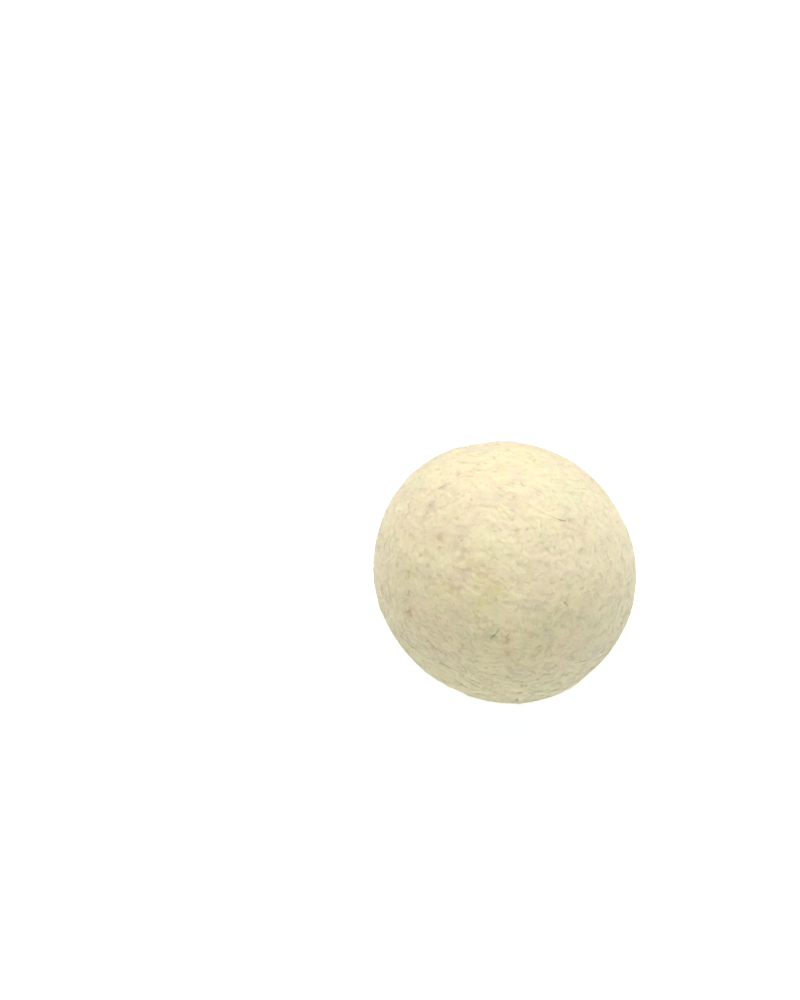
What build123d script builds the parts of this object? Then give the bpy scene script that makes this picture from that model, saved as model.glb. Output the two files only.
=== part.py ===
"""A felted wool dryer ball: a rolled core, three crossed wraps of carded sliver and a felted cover.

Frame: +Z up, origin at the middle of the small flat that the ball rests on. Sizes are in millimetres.
Each layer fills the space round the one beneath, so the pieces meet face to face.
"""

import os
from math import cos, pi, sin, sqrt

from build123d import *

# The finished ball. A hand-rolled ball is never quite round, so its three ways across differ.
BALL_LENGTH = 71.4  # along X, the longest way across
BALL_WIDTH = 68.6  # along Y, the shortest
BALL_HEIGHT = 70.0  # along Z, before the resting flat
REST_FLAT_DIAMETER = 8.0  # the felt flattens this wide under the ball

# The layers, from the outside in.
COVER_THICKNESS = 5.0
WRAP_THICKNESS = 6.0

# A wrap is one sliver wound in turns that lie side by side, each crosswise to the wrap beneath.
# Felting draws it in a little along the axis that it is wound about.
TURNS_PER_WRAP = 9
GROOVE_DEPTH = 0.7  # how far the valley between two turns lies below their crests
WINDING_SQUASH = 0.97  # a wrap's length along its winding axis, as a share of its diameter

# The core is a strip of carded wool, rolled up along X and worked to an oval.
CORE_LENGTH = 30.0
CORE_DIAMETER = 22.0
STRIP_PITCH = 3.4  # from one turn of the strip to the next
STRIP_GAP = 0.3  # air left between two turns
EYE_RADIUS = 0.9  # the hollow that the strip is rolled round
CORE_HALF_TURNS = 7

REST_FLAT_DEPTH = (BALL_HEIGHT / 2) * (
    1 - sqrt(1 - REST_FLAT_DIAMETER**2 / (BALL_LENGTH * BALL_WIDTH))
)
CENTRE_HEIGHT = BALL_HEIGHT / 2 - REST_FLAT_DEPTH

THIRD_WRAP_DIAMETER = BALL_HEIGHT - 2 * COVER_THICKNESS
SECOND_WRAP_DIAMETER = THIRD_WRAP_DIAMETER - 2 * WRAP_THICKNESS
FIRST_WRAP_DIAMETER = SECOND_WRAP_DIAMETER - 2 * WRAP_THICKNESS


def oval(length, width, height):
    """A solid ball with these three ways across, centred on the origin."""
    return scale(Sphere(0.5), by=(length, width, height))


def spiral_side(offset):
    """One side of the rolled strip: half circles drawn about two centres in turn."""
    arcs = []
    for half_turn in range(CORE_HALF_TURNS):
        side = 1 if half_turn % 2 == 0 else -1
        centre = side * STRIP_PITCH / 4
        radius = EYE_RADIUS + offset + half_turn * STRIP_PITCH / 2
        start, end = centre - side * radius, centre + side * radius
        arcs.append(ThreePointArc((start, 0), (centre, side * radius), (end, 0)))
    return arcs


def core_roll(form):
    """The rolled strip, with its ends and outer turn worked to the core's oval form."""
    inside = spiral_side(0)
    outside = spiral_side(STRIP_PITCH - STRIP_GAP)
    caps = [Line(inside[0] @ 0, outside[0] @ 0), Line(inside[-1] @ 1, outside[-1] @ 1)]
    strip = make_face(Wire([*inside, *outside, *caps]))
    roll = extrude(Plane.YZ * strip, amount=CORE_LENGTH / 2, both=True)
    return roll & form


def wound_form(diameter):
    """The solid form of the ball once a sliver is wound on about X, with a valley between turns."""
    step = pi / TURNS_PER_WRAP

    def on_oval(turn, crest):
        reach = diameter / 2 - (0 if crest else GROOVE_DEPTH)
        return (WINDING_SQUASH * reach * cos(turn * step), reach * sin(turn * step))

    start, end = on_oval(0, True), on_oval(TURNS_PER_WRAP, True)
    valleys = [on_oval(turn + 0.5, False) for turn in range(TURNS_PER_WRAP)]
    crests = [on_oval(turn + 1, True) for turn in range(TURNS_PER_WRAP - 1)]
    turns = [
        ThreePointArc(low, crest, next_low)
        for low, crest, next_low in zip(valleys, crests, valleys[1:])
    ]
    first_cap = TangentArc(start, valleys[0], tangent=(0, 1))
    last_cap = TangentArc(end, valleys[-1], tangent=(0, 1))
    outline = make_face(Wire([first_cap, *turns, last_cap, Line(start, end)]))
    return revolve(outline, axis=Axis.X)


def make_ball():
    """Every piece of the ball in place, by name."""
    core = oval(CORE_LENGTH, CORE_DIAMETER, CORE_DIAMETER)
    first = wound_form(FIRST_WRAP_DIAMETER).rotate(Axis.Y, 90)  # wound about Z
    second = wound_form(SECOND_WRAP_DIAMETER)  # wound about X
    third = wound_form(THIRD_WRAP_DIAMETER).rotate(Axis.Z, 90)  # wound about Y
    under_flat = Pos(0, 0, -BALL_HEIGHT + REST_FLAT_DEPTH)
    ball = oval(BALL_LENGTH, BALL_WIDTH, BALL_HEIGHT)
    ball -= under_flat * Box(BALL_LENGTH, BALL_LENGTH, BALL_HEIGHT)
    pieces = {
        "core_roll": core_roll(core),
        "first_wrap": first - core,
        "second_wrap": second - first,
        "third_wrap": third - second,
        "felted_cover": ball - third,
    }
    return {name: Pos(0, 0, CENTRE_HEIGHT) * piece for name, piece in pieces.items()}


os.makedirs("parts", exist_ok=True)
for name, piece in make_ball().items():
    piece.label = name
    export_step(piece, f"parts/{name}.step")
    print(f"{name}: {len(piece.solids())} solid, {piece.volume / 1000:.1f} cm3")
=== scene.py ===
"""A felted wool dryer ball on a pale floor, under soft studio light.

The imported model's core and wraps stay inside. The cover is made here as a shell of felt, and the
wool on it is geometry too: matted fibres that follow the felt's swirls, locks of fibres that were
felted down together, short fuzz, and the dark hairs and bits of straw that raw wool holds.
Lengths are in metres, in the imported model's own frame: +Z up, with the floor at zero.
"""

import math

import bpy
import numpy as np
from mathutils import Matrix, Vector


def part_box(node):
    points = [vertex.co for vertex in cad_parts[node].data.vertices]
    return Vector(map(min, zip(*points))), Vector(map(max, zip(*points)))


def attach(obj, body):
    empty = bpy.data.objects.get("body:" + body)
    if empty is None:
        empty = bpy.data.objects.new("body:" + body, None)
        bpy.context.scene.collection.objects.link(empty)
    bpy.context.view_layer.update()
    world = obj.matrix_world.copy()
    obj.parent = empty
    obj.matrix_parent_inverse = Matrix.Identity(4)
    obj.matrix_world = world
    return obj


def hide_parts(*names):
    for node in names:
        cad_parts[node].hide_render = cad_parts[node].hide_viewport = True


MM = 0.001

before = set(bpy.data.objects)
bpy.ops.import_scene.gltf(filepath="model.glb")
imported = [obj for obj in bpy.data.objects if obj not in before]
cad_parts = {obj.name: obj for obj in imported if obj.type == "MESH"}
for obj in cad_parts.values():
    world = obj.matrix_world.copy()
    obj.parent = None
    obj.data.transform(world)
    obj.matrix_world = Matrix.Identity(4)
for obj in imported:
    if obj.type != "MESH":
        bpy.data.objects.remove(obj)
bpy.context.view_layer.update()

# ---------------------------------------------------------------------------------------------
# The ball's form
# ---------------------------------------------------------------------------------------------

REST_PRESS = 0.115 * MM  # half of how far the felt is pressed flat under the ball
FLOOR_GAP = 0.02 * MM  # the wool under the ball stays this far above the floor

lowest, highest = (np.array(corner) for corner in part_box("felted_cover"))
BALL_CENTRE = (lowest + highest) / 2 - (0, 0, REST_PRESS)
BALL_RADII = (highest - lowest) / 2 + (0, 0, REST_PRESS)
BALL_RADIUS = float(BALL_RADII.mean())

WRAP_CLEARANCE = 0.25 * MM
wrap_lowest, wrap_highest = (np.array(corner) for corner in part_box("third_wrap"))
INSIDE_CENTRE = (wrap_lowest + wrap_highest) / 2
INSIDE_RADII = (wrap_highest - wrap_lowest) / 2 + WRAP_CLEARANCE

# The relief of the felt, from the shape that rolling leaves down to the pits between locks.
RELIEF = (  # how far apart its bumps are, and how high they stand
    (42 * MM, 0.16 * MM),
    (15 * MM, 0.11 * MM),
    (5.5 * MM, 0.05 * MM),
    (2.8 * MM, 0.030 * MM),
    (1.6 * MM, 0.020 * MM),
)
FLAT_BELOW = 4 * MM  # bumps closer than this are flattened along Z, as the last sliver ran round it
FLATTENING = 1.6
PIT_SPACING = 3.2 * MM
PIT_DEPTH = 0.12 * MM
PIT_RARITY = 1.1  # pits form only where their field is this far above its middle
PIT_FULL = 1.2  # and are at their deepest this much further up
GRAIN_WIDTH = 0.95 * MM  # one felted strand in the cover's own relief
GRAIN_STEP = 0.42 * MM
GRAIN_STEPS = 7
GRAIN_HEIGHT = 0.007 * MM

# The way that the wool lies: wide swirls and small curls in the last sliver that was wound on.
SWIRL_WIDTH = 34 * MM
CURL_WIDTH = 8 * MM
WOUND_ABOUT = np.array((0.3, -0.3, 2.4))  # the sliver's axis, and how far it outweighs the swirls

# Where hands left the ball flatter or fuller: a direction from its centre, how wide, how far out.
HAND_MARKS = (
    ((0.03, -0.86, -0.52), 0.42, -0.75 * MM),
    ((0.71, -0.34, -0.62), 0.40, 0.50 * MM),
    ((0.90, 0.25, -0.36), 0.40, -0.45 * MM),
    ((-0.45, 0.60, 0.64), 0.40, -0.50 * MM),
    ((-0.55, -0.60, 0.58), 0.35, -0.25 * MM),
    ((-0.85, 0.35, -0.40), 0.45, 0.40 * MM),
)


def unit(vectors):
    return vectors / np.linalg.norm(vectors, axis=-1, keepdims=True)


def random_field(seed, wavelength, waves=40):
    """A smooth random function of place, about 1 high, whose bumps are a wavelength apart."""
    rng = np.random.default_rng(seed)
    numbers = unit(rng.normal(size=(waves, 3))) * rng.uniform(0.6, 1.4, (waves, 1))
    numbers *= 2 * np.pi / wavelength
    phases = rng.uniform(0, 2 * np.pi, waves)

    def field(places):
        total = np.zeros(places.shape[:-1])
        for number, phase in zip(numbers, phases):
            total += np.sin(places @ number + phase)
        return total * math.sqrt(2 / waves)

    return field


def direction_of(longitude, latitude):
    """The direction from the ball's centre of places that are given in degrees."""
    longitude, latitude = np.radians(longitude), np.radians(latitude)
    level = np.cos(latitude)
    return np.stack([level * np.cos(longitude), level * np.sin(longitude), np.sin(latitude)], axis=-1)


relief_fields = [
    (random_field(11 + i, apart), high, FLATTENING if apart < FLAT_BELOW else 1)
    for i, (apart, high) in enumerate(RELIEF)
]
pit_field = random_field(21, PIT_SPACING)
grain_field = random_field(22, GRAIN_WIDTH, waves=56)
swirl_fields = [random_field(208 + i, SWIRL_WIDTH, waves=24) for i in range(3)]
curl_fields = [random_field(41 + i, CURL_WIDTH, waves=24) for i in range(3)]


def pits(directions):
    """How deep in a pit each place lies: 0 outside the pits."""
    return np.clip(pit_field(directions * BALL_RADIUS) - PIT_RARITY, 0, PIT_FULL)


def felt_surface(directions, grain=0.0):
    """The points of the ball's outer side that lie in these directions from its centre."""
    on_ball = directions * BALL_RADIUS
    height = sum(high * field(on_ball * (1, 1, flat)) for field, high, flat in relief_fields)
    height -= PIT_DEPTH * pits(directions)
    for towards, wide, out in HAND_MARKS:
        nearness = directions @ unit(np.array(towards))
        height += out * np.exp((nearness - 1) * 2 / wide**2)
    height += GRAIN_HEIGHT * grain
    points = BALL_CENTRE + directions * BALL_RADII * (1 + height / BALL_RADIUS)[..., None]
    points[..., 2] = np.maximum(points[..., 2], FLOOR_GAP)
    return points


def wool_flow(directions):
    """The way that the wool lies at each place on the ball: a unit vector along its surface."""
    on_ball = directions * BALL_RADIUS
    swirl = np.stack([field(on_ball) for field in swirl_fields], axis=-1)
    swirl += np.stack([field(on_ball) for field in curl_fields], axis=-1)
    return unit(np.cross(directions, swirl + WOUND_ABOUT))


def felt_grain(directions):
    """Strands in the felt: fine noise, smeared along the way that the wool lies."""
    total = grain_field(directions * BALL_RADIUS)
    for way in (1, -1):
        place = directions
        heading = way * wool_flow(place)
        for _ in range(GRAIN_STEPS):
            place = unit(place + heading * GRAIN_STEP / BALL_RADIUS)
            turned = wool_flow(place)
            heading = turned * np.sign((turned * heading).sum(axis=-1, keepdims=True))
            total += grain_field(place * BALL_RADIUS)
    return total / math.sqrt(2 * GRAIN_STEPS + 1)


# ---------------------------------------------------------------------------------------------
# Where the wool is darker or tinted, and where light and shade are painted into it
# ---------------------------------------------------------------------------------------------

# What each stain, and each patch of painted light and shade, multiplies the wool's colour by at its
# middle.
GREY = (0.78, 0.78, 0.81)
BROWN = (0.80, 0.75, 0.67)
# Greenish: partly the wool's own tint, partly painted shade low on the side in view.
GREENISH_AND_SHADE = (0.94, 0.985, 0.94)
LILAC = (0.97, 0.95, 1.04)
PINK = (0.98, 0.93, 0.92)
YELLOW = (1.01, 1.02, 0.88)
OLIVE = (0.94, 0.92, 0.74)
RUST = (0.80, 0.70, 0.61)
# Not stains: painted light, painted shade and painted warm light, for broad patches of the wool.
PAINTED_LIGHT = (1.06, 1.06, 1.06)
PAINTED_SHADE = (0.93, 0.93, 0.935)
PAINTED_WARM_LIGHT = (1.0, 0.995, 0.94)

# Soft stains in the wool, and broad patches of painted light and shade, by tint: the longitude and
# latitude of each in degrees, and its width in mm.
STAINS_AND_PAINTED_LIGHT = (
    (GREY, ((-84, 53, 2), (-76, 49, 1.5), (-129, 55, 2), (-145, 61, 1.5), (13, 63, 2))),
    (BROWN, ((-103, 53, 1.5), (-104, 31, 1.5), (-95, 17, 2), (-78, 40, 1.5), (150, 5, 3), (40, -20, 3))),
    # Greenish patches; those low on the side in view are partly painted shade.
    (GREENISH_AND_SHADE, ((-105, 20, 4.5), (-65, 22, 5), (-18, 66, 3), (-35, 28, 3), (120, 30, 5))),
    (LILAC, ((-12, 49, 2), (0, 45, 1.5), (-5, 0, 5), (-90, 0, 3), (-75, 5, 3.5), (170, 40, 4.5))),
    (PINK, ((-32, 78, 2.5), (-38, 16, 2.5), (-170, 10, 3.5), (95, -10, 3))),
    (YELLOW, ((-73, 53, 2), (-60, 38, 3.5), (156, 79, 2), (106, 72, 2), (-140, -15, 4.5))),
    (OLIVE, ((-64, 49, 2.5), (-55, 44, 2))),
    (RUST, ((-48, 25, 1), (-48, 22, 1), (-48, 18, 1))),
    # Broad patches of painted light, painted shade and painted warm light.
    (PAINTED_LIGHT, ((-60, 58, 6.5),)),
    (PAINTED_SHADE, ((5, 50, 6), (-32, 31, 6), (-80, 46, 3.5), (-150, 50, 3), (60, 10, 4))),
    (PAINTED_WARM_LIGHT, ((-20, 27, 8), (-50, 33, 8), (-80, 30, 8))),
)
# The edges of the patches of painted light and shade break up in the same way.
PATCH_BREAK = 2.2 * MM  # the size of the lumps that a stain's edge breaks up into

stain_field = random_field(51, PATCH_BREAK)


def stains(directions):
    """What the stains and the painted light and shade multiply the wool's colour by at each place."""
    patchy = np.clip(0.75 + 0.5 * stain_field(directions * BALL_RADIUS), 0, 1.4)
    colour = np.ones((*directions.shape[:-1], 3))
    for tint, places in STAINS_AND_PAINTED_LIGHT:
        for longitude, latitude, width in places:
            nearness = directions @ direction_of(longitude, latitude)
            amount = patchy * np.exp((nearness - 1) * 2 * (BALL_RADIUS / (width * MM)) ** 2)
            colour *= 1 + amount[..., None] * (np.array(tint) - 1)
    return colour


# ---------------------------------------------------------------------------------------------
# Meshes
# ---------------------------------------------------------------------------------------------


def new_piece(name, points, faces, uvs, slot, material, **shades):
    """A smooth-shaded mesh that rides with the ball.

    faces is a list of index arrays, uvs holds one pair per corner, and each shade is a value or a
    colour per point that the material reads by its name.
    """
    corners = np.concatenate([group.ravel() for group in faces])
    sizes = np.concatenate([np.full(len(group), group.shape[1]) for group in faces])
    mesh = bpy.data.meshes.new(name)
    mesh.vertices.add(len(points))
    mesh.vertices.foreach_set("co", points.astype(np.float32).ravel())
    mesh.loops.add(len(corners))
    mesh.loops.foreach_set("vertex_index", corners.astype(np.int32))
    mesh.polygons.add(len(sizes))
    mesh.polygons.foreach_set("loop_start", (np.cumsum(sizes) - sizes).astype(np.int32))
    mesh.update(calc_edges=True)
    mesh.shade_smooth()
    mesh.uv_layers.new(name="OFBake").uv.foreach_set("vector", uvs.astype(np.float32).ravel())
    for shade, values in shades.items():
        if values.ndim == 1:
            attribute = mesh.attributes.new(shade, "FLOAT", "POINT")
            attribute.data.foreach_set("value", values.astype(np.float32))
        else:
            attribute = mesh.attributes.new(shade, "FLOAT_COLOR", "POINT")
            opaque = np.ones((len(values), 1))
            attribute.data.foreach_set("color", np.hstack([values, opaque]).astype(np.float32).ravel())
    mesh.materials.append(material)
    piece = bpy.data.objects.new(name, mesh)
    bpy.context.scene.collection.objects.link(piece)
    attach(piece, "root")
    return piece


def cube_ball(cuts):
    """A cube blown up to a ball: unit directions, quads, and a UV square for each of its six sides."""
    steps = np.tan(np.linspace(-1, 1, cuts + 1) * np.pi / 4)
    across, up = (grid.ravel() for grid in np.meshgrid(steps, steps, indexing="ij"))
    ones = np.ones_like(across)
    row = np.arange(cuts)[:, None] * (cuts + 1) + np.arange(cuts)[None]
    quad = np.stack([row, row + cuts + 1, row + cuts + 2, row + 1], axis=-1).reshape(-1, 4)
    corner_uv = np.stack(np.meshgrid(*[np.linspace(0, 1, cuts + 1)] * 2, indexing="ij"), axis=-1)
    corner_uv = corner_uv.reshape(-1, 2)[quad]
    directions, quads, uvs = [], [], []
    sides = [(axis, sign) for axis in range(3) for sign in (1, -1)]
    for number, (axis, sign) in enumerate(sides):
        plane = np.roll(np.stack([sign * ones, sign * across, up], axis=-1), axis, axis=-1)
        directions.append(unit(plane))
        quads.append(quad + number * (cuts + 1) ** 2)
        corner = np.array([number % 3, number // 3])
        uvs.append((corner + 0.01 + 0.98 * corner_uv) / (3, 2))
    return np.concatenate(directions), np.concatenate(quads), np.concatenate(uvs)


def welded(directions, quads):
    """Joins the points that neighbouring sides of a cube ball share."""
    keys = np.round(directions, 6) + 0.0
    _, kept, places = np.unique(keys, axis=0, return_index=True, return_inverse=True)
    return directions[kept], places.ravel()[quads]


COVER_CUTS = 124  # quads along each side of the cube that is blown up to the ball
INSIDE_CUTS = 32
OUTSIDE_UV_SHARE = 0.96  # of the UV square's height
INSIDE_UV_SIZE = 0.03
UV_MARGIN = 0.005


def felted_cover(material):
    """The shell of felt: its outer side with all its relief, and a smooth inner side round the wraps."""
    outside, outside_quads, outside_uvs = cube_ball(COVER_CUTS)
    outside, outside_quads = welded(outside, outside_quads)
    inside, inside_quads, inside_uvs = cube_ball(INSIDE_CUTS)
    inside, inside_quads = welded(inside, inside_quads)
    grain = felt_grain(outside)
    points = np.concatenate([felt_surface(outside, grain), INSIDE_CENTRE + inside * INSIDE_RADII])
    grain = np.concatenate([grain, np.zeros(len(inside))])
    quads = np.concatenate([outside_quads, inside_quads[:, ::-1] + len(outside)])
    outside_uvs = outside_uvs.reshape(-1, 2) * (1, OUTSIDE_UV_SHARE)
    inside_uvs = inside_uvs.reshape(-1, 2) * INSIDE_UV_SIZE + (0, OUTSIDE_UV_SHARE + UV_MARGIN)
    uvs = np.concatenate([outside_uvs, inside_uvs])
    pit = np.concatenate([pits(outside), np.zeros(len(inside))])
    # The stains and the painted light and shade of each point of the outer side.
    stain = np.concatenate([stains(outside), np.ones((len(inside), 3))])
    return new_piece(
        "felt_cover", points, [quads], uvs, "felt_cover", material, grain=grain, pit=pit, stain=stain
    )


# ---------------------------------------------------------------------------------------------
# Fibres
# ---------------------------------------------------------------------------------------------

SIDES = 3  # of a fibre, in section
LENGTH_SPREAD = 0.35  # how much fibres differ in length
WEAVE = 0.5  # how far a fibre rises and sinks along its length, in radii
SUNK = 0.4  # how deep its middle is set in the felt, in radii
DIP = 3  # how much deeper its ends are, in radii
LOCK_WIDTH = 0.09 * MM
LOCK_TURN = 0.12  # radians that a fibre turns from the others in its lock
LOCK_BEND = 0.2  # radians that it bends more or less than they do
ASTRAY = 0.33  # the share of the fibres that lie any way at all
TINT_SPREAD = 0.44  # how much one fibre differs from the next, from dull at 0 to pale at 1
EVEN_ABOVE = 0.7  # how much of that is lost towards the top of the ball and underneath
OWN_TINT_SPREAD = 0.1  # how much the fibres of one lock differ
BEND = 0.8  # radians that a fibre turns over its length, give or take
CRIMP = 0.14  # radians that it turns at each joint between rings
FUZZ_ROOT = 0.15 * MM  # how deep fuzz is rooted in the felt
FUZZ_TINT = 0.7
CELL_MARGIN = 0.15  # between a tube's UVs and the sides of its UV cell


def tubes(paths, radii, normals):
    """Closed thin tubes along paths of points: their vertices, faces and UVs, a UV cell for each."""
    count, rings = paths.shape[:2]
    along = unit(np.gradient(paths, axis=1))
    across = unit(np.cross(along, normals))
    upward = np.cross(across, along)
    turns = np.arange(SIDES) * 2 * np.pi / SIDES
    ring = np.cos(turns)[:, None] * across[:, :, None] + np.sin(turns)[:, None] * upward[:, :, None]
    points = paths[:, :, None] + radii[..., None, None] * ring
    points[..., 2] = np.maximum(points[..., 2], FLOOR_GAP)

    tube = np.arange(count)[:, None, None] * rings * SIDES
    step = np.arange(rings - 1)[None, :, None] * SIDES
    side = np.arange(SIDES)[None, None, :]
    after = (side + 1) % SIDES
    low, low_after = tube + step + side, tube + step + after
    quads = np.stack([low, low + SIDES, low_after + SIDES, low_after], axis=-1).reshape(-1, 4)
    first_caps = (tube + side).reshape(-1, SIDES)
    last_caps = first_caps[:, ::-1] + (rings - 1) * SIDES

    cells = math.ceil(math.sqrt(count))
    cell = np.stack([np.arange(count) % cells, np.arange(count) // cells], axis=-1)

    def place_uv(u, v):
        u, v = np.broadcast_arrays(u, v)
        inside = CELL_MARGIN + np.stack([u, v], axis=-1) * (1 - 2 * CELL_MARGIN)
        return ((cell.reshape(-1, 1, 1, 2) + inside) / cells).reshape(-1, 2)

    left = np.arange(SIDES)[None, None, :] / SIDES
    right = left + 1 / SIDES
    bottom = np.arange(rings - 1)[None, :, None] / (rings - 1)
    top = bottom + 1 / (rings - 1)
    corners = ((left, bottom), (left, top), (right, top), (right, bottom))
    quad_uvs = np.stack([place_uv(*corner) for corner in corners], axis=1).reshape(-1, 2)
    first_uvs = place_uv(left, np.zeros((1, 1, 1)))
    last_uvs = place_uv(left[..., ::-1], np.ones((1, 1, 1)))
    uvs = np.concatenate([quad_uvs, first_uvs, last_uvs])
    return points.reshape(-1, 3), [quads, first_caps, last_caps], uvs


def random_directions(rng, count):
    return unit(rng.normal(size=(count, 3)))


def turned_about(axes, vectors, angles):
    """vectors, which lie square to axes, turned about them by angles."""
    angles = np.asarray(angles)[..., None]
    return np.cos(angles) * vectors + np.sin(angles) * np.cross(axes, vectors)


def crawl(start, heading, length, rings, bend, wobble):
    """Paths over the ball from start, as directions: each bends steadily one way and wobbles a little."""
    place, way = start, heading
    step = (length / (rings - 1) / BALL_RADIUS)[:, None]
    places = [place]
    for i in range(rings - 1):
        way = turned_about(place, way, bend / (rings - 1) + wobble[:, i])
        onward = unit(place + way * step)
        way = unit(way - (way * onward).sum(axis=-1, keepdims=True) * onward)
        place = onward
        places.append(place)
    return np.stack(places, axis=1)


def tapered(radius, rings, tip=0.35):
    """The radius at each ring: full in the middle, and thin at both ends."""
    along = np.linspace(-1, 1, rings)
    return radius[:, None] * (tip + (1 - tip) * (1 - along**4))


def surface_wool(name, seed, count, material, length, radius, spread, lift, pale, lock=1):
    """Crimped fibres that lie on the felt and dip into it. A lock is several fibres side by side.

    spread is how far they turn from the wool's own way, in radians, lift is how far clear of the
    felt they may lie, and pale is their middle tint.
    """
    rng = np.random.default_rng(seed)
    rings = 5
    locks = count // lock
    start = random_directions(rng, locks)
    astray = rng.uniform(size=locks) < ASTRAY
    any_way = rng.uniform(0, np.pi, locks)
    askew = np.where(astray, any_way, rng.normal(0, spread, locks))
    heading = turned_about(start, wool_flow(start), askew)
    heading *= rng.choice((-1, 1), locks)[:, None]
    bend = rng.normal(0, BEND, locks)
    start, heading, bend = (np.repeat(values, lock, axis=0) for values in (start, heading, bend))
    total = len(start)
    if lock > 1:
        aside = np.cross(start, heading) * rng.normal(0, LOCK_WIDTH, (total, 1)) / BALL_RADIUS
        ahead = heading * rng.normal(0, length / 4, (total, 1)) / BALL_RADIUS
        start = unit(start + aside + ahead)
        heading = turned_about(start, heading, rng.normal(0, LOCK_TURN, total))
        heading = unit(heading - (heading * start).sum(axis=-1, keepdims=True) * start)
        bend = bend + rng.normal(0, LOCK_BEND, total)
    lengths = rng.lognormal(math.log(length), LENGTH_SPREAD, total)
    crimp = rng.normal(0, CRIMP, (total, rings - 1))
    places = crawl(start, heading, lengths, rings, bend, crimp)
    thickness = rng.uniform(0.75, 1.25, (total, 1)) * radius
    along = np.linspace(-1, 1, rings)
    weave = np.sin(rng.uniform(0, 2 * np.pi, (total, 1)) + along * rng.uniform(1, 3, (total, 1)))
    rise = thickness * (WEAVE * weave - SUNK - DIP * along**6)
    rise += lift * rng.uniform(0, 1, (total, 1)) ** 2
    paths = felt_surface(places) + rise[..., None] * places
    points, faces, uvs = tubes(paths, tapered(thickness[:, 0], rings), places)
    uneven = TINT_SPREAD * (1 - EVEN_ABOVE * start[:, 2] ** 4)
    tint = pale + uneven * np.repeat(rng.normal(size=locks), lock)
    tint += rng.normal(0, OWN_TINT_SPREAD, total)
    tint = np.repeat(np.clip(tint, 0, 1), rings * SIDES)
    # The stains and the painted light and shade under each fibre.
    stain = np.repeat(stains(places).reshape(-1, 3), SIDES, axis=0)
    return new_piece(name, points, faces, uvs, "felt_cover", material, tint=tint, stain=stain)


def standing_fuzz(name, seed, count, material, length, radius):
    """Short fibres with one end in the felt, which stand up and curl over."""
    rng = np.random.default_rng(seed)
    rings = 6
    root = random_directions(rng, count)
    lean = turned_about(root, wool_flow(root), rng.uniform(0, 2 * np.pi, count))
    lengths = rng.lognormal(math.log(length), 0.45, count)
    tilt = rng.uniform(0.1, 1.1, count)
    curl = rng.normal(0.9, 0.9, count)
    paths = [felt_surface(root) - root * FUZZ_ROOT]
    for i in range(rings - 1):
        leaning = (tilt + curl * i / (rings - 2))[:, None]
        onward = np.cos(leaning) * root + np.sin(leaning) * lean
        paths.append(paths[-1] + onward * lengths[:, None] / (rings - 1))
    paths = np.stack(paths, axis=1)
    sideways = np.broadcast_to(np.cross(root, lean)[:, None], paths.shape)
    thickness = rng.uniform(0.7, 1.3, count) * radius
    points, faces, uvs = tubes(paths, tapered(thickness, rings), sideways)
    tint = np.full(len(points), FUZZ_TINT)
    # The stains and the painted light and shade at each fuzz root.
    stain = np.repeat(stains(root), rings * SIDES, axis=0)
    return new_piece(name, points, faces, uvs, "felt_cover", material, tint=tint, stain=stain)


# The wool's most visible bits of straw and dark hair: where each lies, by longitude and latitude in
# degrees, which way it runs from east towards north, its length and radius in mm, and how pale it is.
FLECKS = (
    (-55, 25, 60, 1.8, 0.17, 0.0),
    (-53, 27.5, 65, 1.9, 0.08, 0.4),
    (-48, 26.5, 45, 1.3, 0.07, 0.8),
    (-48, 21, -90, 4.8, 0.03, 1.0),
    (11, 65, -60, 2.2, 0.07, 0.65),
    (8, 67, -70, 3.0, 0.035, 0.8),
    (-19, 36, -65, 1.8, 0.08, 0.4),
    (-32, 41, -25, 10.5, 0.03, 1.0),
    (102, 68, 110, 3.5, 0.05, 0.5),
    (58, 85, -160, 2.0, 0.06, 0.5),
    (-146, 61, 130, 3.4, 0.045, 0.8),
    (-131, 55, 115, 1.0, 0.06, 0.5),
    (-132, 57, 130, 0.9, 0.06, 0.8),
    (-150, 49, 145, 1.2, 0.05, 0.7),
    (-105, 31, -35, 2.0, 0.05, 0.9),
    (-96, 17, 60, 2.2, 0.05, 0.8),
    (-89, 58, 65, 0.8, 0.06, 0.7),
    (-34, 20, 30, 1.0, 0.06, 0.6),
    (42, 56, -30, 1.0, 0.06, 0.7),
    (-17, 46, -5, 0.7, 0.05, 0.6),
)


def placed_flecks(name, seed, material):
    """The dark bits that are set in the felt one by one, each a little crooked."""
    rng = np.random.default_rng(seed)
    rings = 7
    longitude, latitude, turn, length, radius, pale = (np.array(column) for column in zip(*FLECKS))
    length, radius = length * MM, radius * MM
    middle = direction_of(longitude, latitude)
    eastward = direction_of(longitude + 90, np.zeros(len(FLECKS)))
    heading = turned_about(middle, eastward, np.radians(turn))
    start = unit(middle - heading * (length / 2 / BALL_RADIUS)[:, None])
    heading = unit(heading - (heading * start).sum(axis=-1, keepdims=True) * start)
    crook = rng.normal(0, 0.08, (len(FLECKS), rings - 1))
    places = crawl(start, heading, length, rings, np.zeros(len(FLECKS)), crook)
    along = np.linspace(-1, 1, rings)
    rise = radius[:, None] * (1.0 - along**6)
    paths = felt_surface(places) + rise[..., None] * places
    points, faces, uvs = tubes(paths, tapered(radius, rings, tip=0.2), places)
    tint = np.repeat(pale, rings * SIDES)
    return new_piece(name, points, faces, uvs, "felt_cover", material, tint=tint)


# ---------------------------------------------------------------------------------------------
# Materials
# ---------------------------------------------------------------------------------------------

CREAM = (0.78, 0.685, 0.445)
# Painted shade: the colour that the felt darkens towards between its threads and in its pits.
GAP_SHADE = (0.66, 0.565, 0.36)  # between the threads of the felt, where less light comes back
OWN_COLOUR = 0.55  # how much of a fibre's colour is its own, and not its patch's
THREAD_WIDTH = 0.035  # how far from its middle the noise still makes a thread


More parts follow.
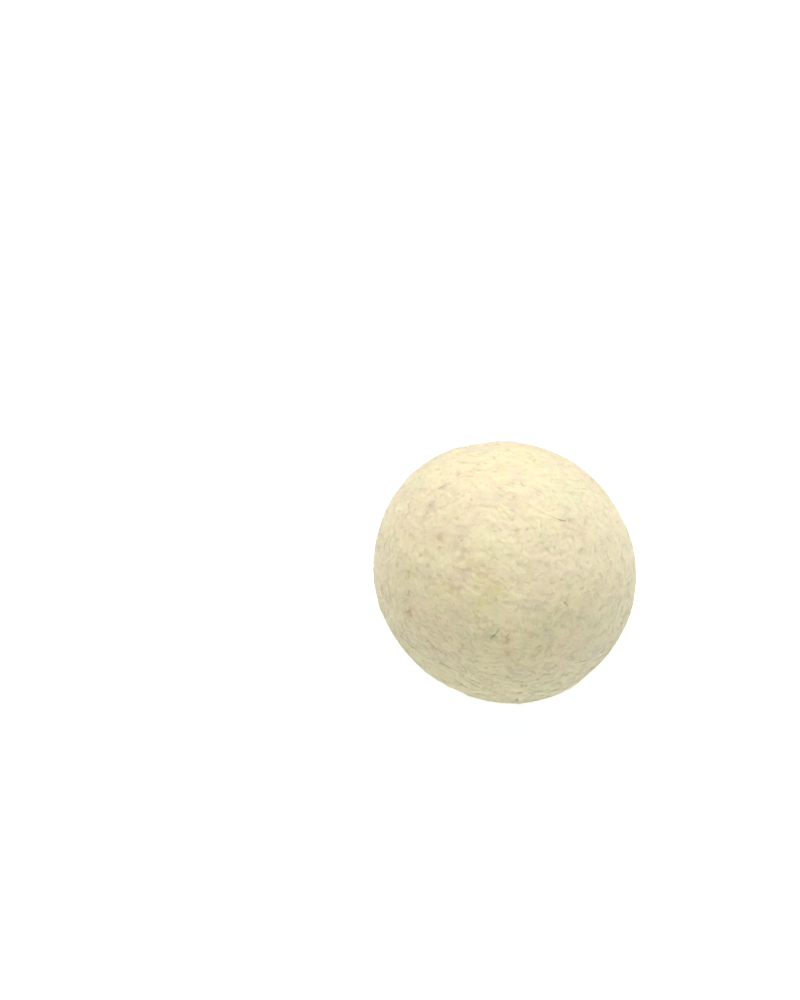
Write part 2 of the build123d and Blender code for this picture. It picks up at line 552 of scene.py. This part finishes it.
def node(tree, kind, inputs=None, **settings):
    """A new node. An input's value is a number, a colour or another node's output."""
    made = tree.nodes.new(kind)
    for name, value in settings.items():
        setattr(made, name, value)
    for socket, value in (inputs or {}).items():
        if isinstance(value, bpy.types.NodeSocket):
            tree.links.new(value, made.inputs[socket])
        else:
            made.inputs[socket].default_value = value
    return made


def mixed(tree, amount, first, second, blend="MIX"):
    """The output of a colour mix."""
    made = tree.nodes.new("ShaderNodeMix")
    made.data_type = "RGBA"
    made.blend_type = blend
    made.clamp_factor = True
    for socket, value in ((0, amount), (6, first), (7, second)):
        if isinstance(value, bpy.types.NodeSocket):
            tree.links.new(value, made.inputs[socket])
        elif socket:
            made.inputs[socket].default_value = (*value, 1)
        else:
            made.inputs[socket].default_value = value
    return made.outputs[2]


def stretched(tree, value, low, high, to_low=0.0, to_high=1.0):
    """value from low to high, spread over to_low to to_high and held there."""
    return node(
        tree,
        "ShaderNodeMapRange",
        {"Value": value, "From Min": low, "From Max": high, "To Min": to_low, "To Max": to_high},
    ).outputs[0]


def noise(tree, where, apart, detail=2.0, roughness=0.5, seed=0.0):
    """Noise in space whose bumps are about this far apart."""
    shift = (seed, seed * 0.7, seed * 0.3)
    moved = node(tree, "ShaderNodeVectorMath", {0: where, 1: shift}, operation="ADD")
    return node(
        tree,
        "ShaderNodeTexNoise",
        {"Vector": moved.outputs[0], "Scale": 1 / apart, "Detail": detail, "Roughness": roughness},
    ).outputs["Fac"]


def wool_colour(tree, where):
    """Cream that drifts, as raw wool does, between yellower, greener, pinker and greyer patches, times
    the stains and the painted light and shade that each point carries.
    """
    patches = (  # how far apart they are, how rare, and their colour
        (16 * MM, 0.46, (0.80, 0.703, 0.429)),
        (13 * MM, 0.50, (0.74, 0.698, 0.429)),
        (9 * MM, 0.50, (0.785, 0.658, 0.447)),
        (6 * MM, 0.54, (0.715, 0.628, 0.432)),
        (3.5 * MM, 0.54, (0.75, 0.693, 0.437)),
        (2.5 * MM, 0.54, (0.77, 0.653, 0.432)),
    )
    colour = mixed(tree, 0.0, CREAM, CREAM)
    for number, (apart, rarity, patch) in enumerate(patches):
        field = noise(tree, where, apart, 1.5, seed=0.11 * (number + 1))
        colour = mixed(tree, stretched(tree, field, rarity, rarity + 0.16), colour, patch)
    # Multiplied by the stains and the painted light and shade that each point carries.
    stain = node(tree, "ShaderNodeAttribute", attribute_name="stain").outputs["Color"]
    return mixed(tree, 1.0, colour, stain, blend="MULTIPLY")


def wool_material(name):
    """An empty wool material: its tree, its shader and its place in space."""
    material = bpy.data.materials.new(name)
    material.use_nodes = True
    tree = material.node_tree
    shader = tree.nodes["Principled BSDF"]
    shader.inputs["Specular IOR Level"].default_value = 0.25
    shader.inputs["Sheen Weight"].default_value = 0.5
    shader.inputs["Sheen Roughness"].default_value = 0.3
    shader.inputs["Sheen Tint"].default_value = (1.0, 0.98, 0.93, 1)
    where = node(tree, "ShaderNodeTexCoord").outputs["Object"]
    return material, tree, shader, where


def threads(tree, where, apart, stretch, seed):
    """Fine curving threads: bright along the lines where noise crosses its middle."""
    combed = node(tree, "ShaderNodeVectorMath", {0: where, 1: stretch}, operation="MULTIPLY")
    field = noise(tree, combed.outputs[0], apart, 1.5, 0.6, seed)
    from_middle = node(tree, "ShaderNodeMath", {0: field, 1: 0.5}, operation="SUBTRACT")
    distance = node(tree, "ShaderNodeMath", {0: from_middle.outputs[0]}, operation="ABSOLUTE")
    return stretched(tree, distance.outputs[0], 0.0, THREAD_WIDTH, 1.0, 0.0)


def felt_material():
    """The felt between and under the loose fibres: threads that cross each other, over gaps darkened with
    painted shade.
    """
    material, tree, shader, where = wool_material("felted_wool")
    matted = 0.0
    for number, stretch in enumerate(((1, 0.4, 0.4), (0.4, 1, 0.4), (0.4, 0.4, 1), (0.7, 0.7, 0.7))):
        layer = threads(tree, where, 0.75 * MM, stretch, 0.013 * (number + 1))
        matted = node(tree, "ShaderNodeMath", {0: matted, 1: layer}, operation="MAXIMUM").outputs[0]
    fine = noise(tree, where, 0.35 * MM, 2, 0.6, seed=0.071)
    grain = node(tree, "ShaderNodeAttribute", attribute_name="grain").outputs["Fac"]
    pit = node(tree, "ShaderNodeAttribute", attribute_name="pit").outputs["Fac"]
    # Painted shade where the felt sinks: between the threads, in the low places of the fine noise and the
    # grain, and in the pits.
    painted_shade_in_gaps = (
        stretched(tree, matted, 0.0, 1.0, 0.28, 0.0),
        stretched(tree, fine, 0.35, 0.65, 0.07, 0.0),
        stretched(tree, grain, -2.0, 0.0, 0.04, 0.0),
        stretched(tree, pit, 0.0, PIT_FULL, 0.0, 0.30),
    )
    colour = wool_colour(tree, where)
    for gap_shade in painted_shade_in_gaps:
        colour = mixed(tree, gap_shade, colour, GAP_SHADE)
    tree.links.new(colour, shader.inputs["Base Color"])
    tree.links.new(stretched(tree, matted, 0.0, 1.0, 0.95, 0.8), shader.inputs["Roughness"])
    height = node(tree, "ShaderNodeMath", {0: matted, 1: fine}, operation="ADD")
    height = {"Height": height.outputs[0], "Distance": 0.03 * MM, "Strength": 1.0}
    bump = node(tree, "ShaderNodeBump", height)
    tree.links.new(bump.outputs[0], shader.inputs["Normal"])
    return material


def fibre_material(name, dull, bright):
    """Wool fibres, each with its own tint between dull and bright, over the felt's drift of colour."""
    material, tree, shader, where = wool_material(name)
    tint = node(tree, "ShaderNodeAttribute", attribute_name="tint").outputs["Fac"]
    own = mixed(tree, tint, dull, bright)
    colour = mixed(tree, OWN_COLOUR, wool_colour(tree, where), own)
    tree.links.new(colour, shader.inputs["Base Color"])
    shader.inputs["Roughness"].default_value = 0.75
    return material


def dark_material(name, dull, bright):
    """Dark hairs and bits of straw."""
    material, tree, shader, where = wool_material(name)
    tint = node(tree, "ShaderNodeAttribute", attribute_name="tint").outputs["Fac"]
    patchy = noise(tree, where, 0.8 * MM, 2, seed=0.93)
    colour = mixed(tree, tint, dull, bright)
    colour = mixed(tree, stretched(tree, patchy, 0.4, 0.7, 0.0, 0.5), colour, CREAM)
    tree.links.new(colour, shader.inputs["Base Color"])
    shader.inputs["Roughness"].default_value = 0.7
    return material


def layer_material(name, colour, axis, apart):
    """The wool of a layer inside: strands that run round the axis it is wound about."""
    material, tree, shader, where = wool_material(name)
    stretch = [8.0, 8.0, 8.0]
    stretch[axis] = 1.0
    squeeze = tuple(1 / s for s in stretch)
    combed = node(tree, "ShaderNodeVectorMath", {0: where, 1: squeeze}, operation="MULTIPLY")
    strands = noise(tree, combed.outputs[0], apart, 4, 0.6)
    shade = mixed(tree, stretched(tree, strands, 0.3, 0.7), tuple(0.8 * c for c in colour), colour)
    tree.links.new(shade, shader.inputs["Base Color"])
    shader.inputs["Roughness"].default_value = 0.9
    bump = node(tree, "ShaderNodeBump", {"Height": strands, "Distance": 0.2 * MM, "Strength": 0.6})
    tree.links.new(bump.outputs[0], shader.inputs["Normal"])
    return material


# ---------------------------------------------------------------------------------------------
# The ball
# ---------------------------------------------------------------------------------------------

FIBRES_EACH = 7600  # in each piece of matted wool or locks
LAYER_STRAND = 0.8 * MM  # how far apart the strands of the layers inside are

felt = felted_cover(felt_material())
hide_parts("felted_cover")

fibre_wool = fibre_material("wool_fibre", (0.515, 0.441, 0.269), (0.915, 0.813, 0.532))
for number in range(10):
    surface_wool(
        f"matted_wool_{number + 1}", 101 + number, FIBRES_EACH, fibre_wool,
        length=2.1 * MM, radius=0.032 * MM, spread=0.65, lift=0.008 * MM, pale=0.5, lock=3,
    )
for number in range(2):
    surface_wool(
        f"wool_locks_{number + 1}", 201 + number, FIBRES_EACH, fibre_wool,
        length=2.8 * MM, radius=0.032 * MM, spread=0.5, lift=0.012 * MM, pale=0.6, lock=5,
    )
standing_fuzz("fuzz", 301, 6000, fibre_wool, length=0.7 * MM, radius=0.022 * MM)
dark_wool = dark_material("dark_hair", (0.10, 0.08, 0.055), (0.42, 0.34, 0.23))
surface_wool(
    "dark_hairs", 401, 70, dark_wool,
    length=1.3 * MM, radius=0.032 * MM, spread=1.2, lift=0.02 * MM, pale=0.6,
)
placed_flecks("dark_flecks", 402, dark_wool)

layer_looks = {  # each layer's colour, and the axis that its wool runs round
    "core_roll": ((0.60, 0.52, 0.36), 0),
    "first_wrap": ((0.63, 0.55, 0.38), 2),
    "second_wrap": ((0.64, 0.56, 0.39), 0),
    "third_wrap": ((0.65, 0.57, 0.40), 1),
}
for name, (colour, axis) in layer_looks.items():
    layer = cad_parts[name]
    layer.data.materials.clear()
    layer.data.materials.append(layer_material(f"{name}_wool", colour, axis, LAYER_STRAND))

# ---------------------------------------------------------------------------------------------
# The studio
# ---------------------------------------------------------------------------------------------


def floor():
    """A pale light table, wide enough to reach past every view, which keeps the ball's shadow faint."""
    half = 3.0
    corners = [(-half, -half, 0), (half, -half, 0), (half, half, 0), (-half, half, 0)]
    mesh = bpy.data.meshes.new("studio_floor")
    mesh.from_pydata(corners, [], [(0, 1, 2, 3)])
    material = bpy.data.materials.new("pale_floor")
    material.use_nodes = True
    tree = material.node_tree
    shader = tree.nodes["Principled BSDF"]
    where = node(tree, "ShaderNodeTexCoord").outputs["Object"]
    shade = mixed(tree, noise(tree, where, 0.4, 2), (0.54, 0.54, 0.54), (0.56, 0.56, 0.56))
    tree.links.new(shade, shader.inputs["Base Color"])
    shader.inputs["Emission Color"].default_value = (0.90, 1.0, 1.0, 1)
    shader.inputs["Emission Strength"].default_value = 0.80
    shader.inputs["Roughness"].default_value = 0.9
    shader.inputs["Specular IOR Level"].default_value = 0.1
    mesh.materials.append(material)
    plane = bpy.data.objects.new("studio_floor", mesh)
    bpy.context.scene.collection.objects.link(plane)


VIEW_AZIMUTH = math.radians(45)
VIEW_ELEVATION = math.radians(50)
CAMERA_DISTANCE = 0.3755
LENS = 50.4  # mm, on a 36 mm sensor
BALL_RIGHT_OF_AXIS = 27.65 * MM
BALL_BELOW_AXIS = 19.0 * MM


def camera():
    """The view from above: the ball sits right of the picture's middle, and a little below it."""
    a, e = VIEW_AZIMUTH, VIEW_ELEVATION
    back = np.array((math.sin(a) * math.cos(e), -math.cos(a) * math.cos(e), math.sin(e)))
    right = np.array((math.cos(a), math.sin(a), 0))
    up = np.cross(back, right)
    data = bpy.data.cameras.new("camera")
    data.lens = LENS
    data.sensor_width = 36
    data.clip_start = 0.01
    data.clip_end = 20
    seen = bpy.data.objects.new("camera", data)
    aim = BALL_CENTRE - right * BALL_RIGHT_OF_AXIS + up * BALL_BELOW_AXIS
    matrix = np.eye(4)
    matrix[:3] = np.column_stack([right, up, back, aim + back * CAMERA_DISTANCE])
    seen.matrix_world = Matrix(matrix)
    bpy.context.scene.collection.objects.link(seen)
    bpy.context.scene.camera = seen


def soft_light(name, strength, colour, wide, tilt, azimuth):
    """A soft light this many degrees wide, tilted from overhead and set towards an azimuth.

    It lights a white surface that faces it to strength.
    """
    data = bpy.data.lights.new(name, "SUN")
    data.energy = strength * math.pi
    data.angle = math.radians(wide)
    data.color = colour
    lamp = bpy.data.objects.new(name, data)
    lamp.rotation_euler = (math.radians(tilt), 0, azimuth)
    bpy.context.scene.collection.objects.link(lamp)


def lights():
    """A wide soft light overhead and slightly behind, a faint cool one on the right, and pale walls."""
    soft_light("overhead", 1.205, (1.0, 1.0, 1.05), 60, 16, VIEW_AZIMUTH + math.pi)
    soft_light("right_fill", 0.10, (0.3, 0.6, 1.0), 60, 70, VIEW_AZIMUTH + math.pi / 2)
    world = bpy.data.worlds.new("studio")
    world.use_nodes = True
    tree = world.node_tree
    background = tree.nodes["Background"]
    background.inputs["Color"].default_value = (1, 1, 1, 1)
    background.inputs["Strength"].default_value = 0.26
    seen = node(tree, "ShaderNodeBackground", {"Color": (1, 1, 1, 1), "Strength": 1.0})
    path = node(tree, "ShaderNodeLightPath")
    chosen = node(tree, "ShaderNodeMixShader", {0: path.outputs["Is Camera Ray"]})
    tree.links.new(background.outputs[0], chosen.inputs[1])
    tree.links.new(seen.outputs[0], chosen.inputs[2])
    tree.links.new(chosen.outputs[0], tree.nodes["World Output"].inputs["Surface"])
    bpy.context.scene.world = world


floor()
camera()
lights()
bpy.context.scene.view_settings.view_transform = "Standard"
bpy.context.scene.view_settings.look = "None"
